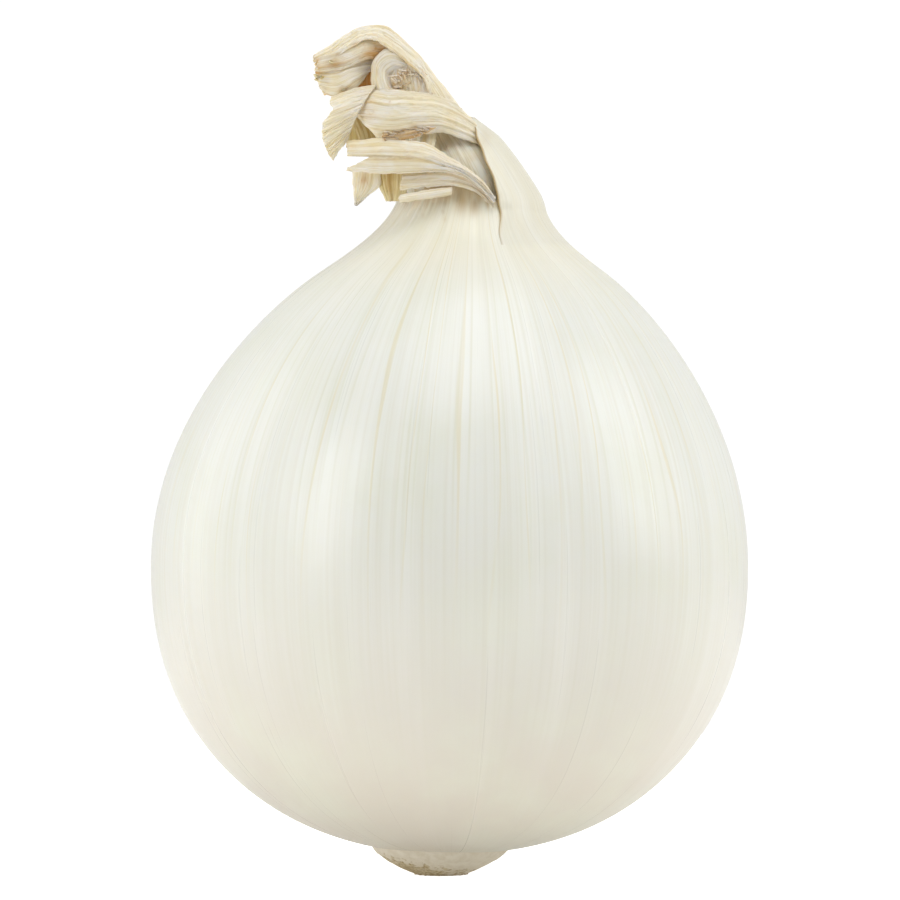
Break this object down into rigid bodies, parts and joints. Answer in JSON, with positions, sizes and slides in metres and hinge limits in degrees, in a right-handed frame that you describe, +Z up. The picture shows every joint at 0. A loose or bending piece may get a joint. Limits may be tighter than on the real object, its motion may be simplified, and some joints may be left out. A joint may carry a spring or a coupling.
{
  "type": "onion",
  "caption": "White onion standing on its trimmed root plate, with the dried leaves of its neck twisted and folded over to one side.",
  "frame": {"origin": "on the surface that the onion stands on, straight below the middle of the bulb", "axes": "+Z up through the neck, -Y the front where the collar of torn leaves is, -X the side that the dried neck leans to"},
  "size_m": [0.09, 0.09, 0.1282],
  "materials": {
    "bulb_skin": "waxy satin",
    "root_cork": "matte, rough",
    "pale_fibre": "matte, fibrous",
    "dry_leaf": "matte, papery",
    "shaded_leaf": "matte, papery"
  },
  "bodies": {
    "root": {"bulb": "bulb_skin", "root_plate": "root_cork", "neck_core": "pale_fibre", "bent_leaf": "dry_leaf", "mouth_leaf_upper": "dry_leaf", "mouth_leaf_lower": "dry_leaf", "strap_leaf": "dry_leaf", "twist_leaf": "dry_leaf", "hanging_leaf": "dry_leaf", "inner_hanging_leaf": "shaded_leaf", "collar_leaf": "dry_leaf", "collar_under_leaf": "dry_leaf", "curled_strip": "dry_leaf", "torn_flap": "dry_leaf", "leaf_stub": "shaded_leaf", "short_strip": "dry_leaf"}
  },
  "joints": []
}
